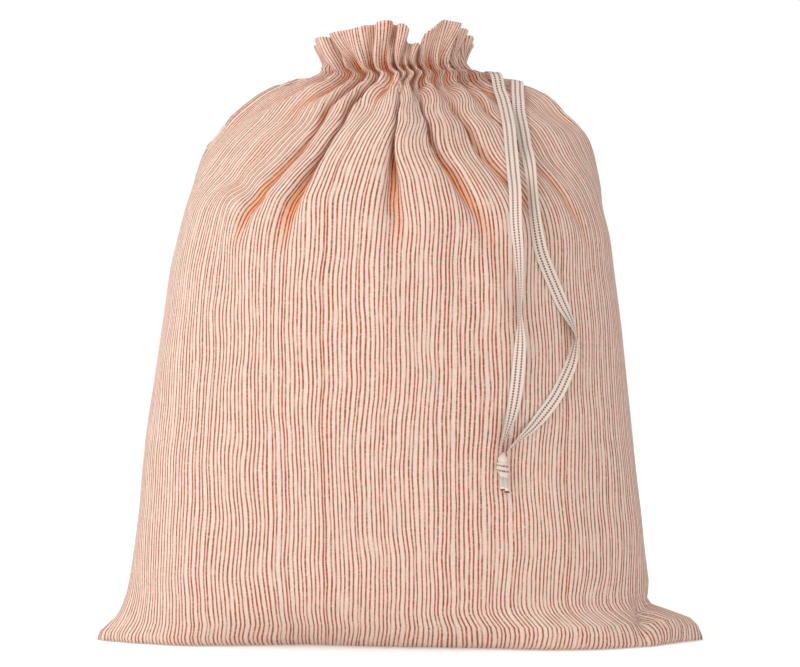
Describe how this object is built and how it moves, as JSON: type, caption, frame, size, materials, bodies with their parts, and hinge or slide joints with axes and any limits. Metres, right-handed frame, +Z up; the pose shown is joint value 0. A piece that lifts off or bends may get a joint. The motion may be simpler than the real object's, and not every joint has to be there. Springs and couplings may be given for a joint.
{
  "type": "drawstring bag",
  "caption": "Filled fabric drawstring bag that stands on its sewn bottom, with gathered neck, frill and a knotted flat tape.",
  "frame": {"origin": "middle of the base of the box round the bag, on the surface that it stands on", "axes": "+X to the right of the front, along the wide bottom seam, +Y to the back, +Z up through the neck"},
  "size_m": [0.485, 0.268, 0.4892],
  "materials": {
    "striped_cloth": "matt woven cream cloth with fine, uneven orange-red stripes along the warp",
    "tape": "matt woven cream tape with two fine dark red dashed lines"
  },
  "bodies": {
    "root": {"bag_body": "striped_cloth", "drawstring_left": "tape", "drawstring_right": "tape", "drawstring_knot": "tape", "drawstring_tails": "tape"}
  },
  "joints": []
}
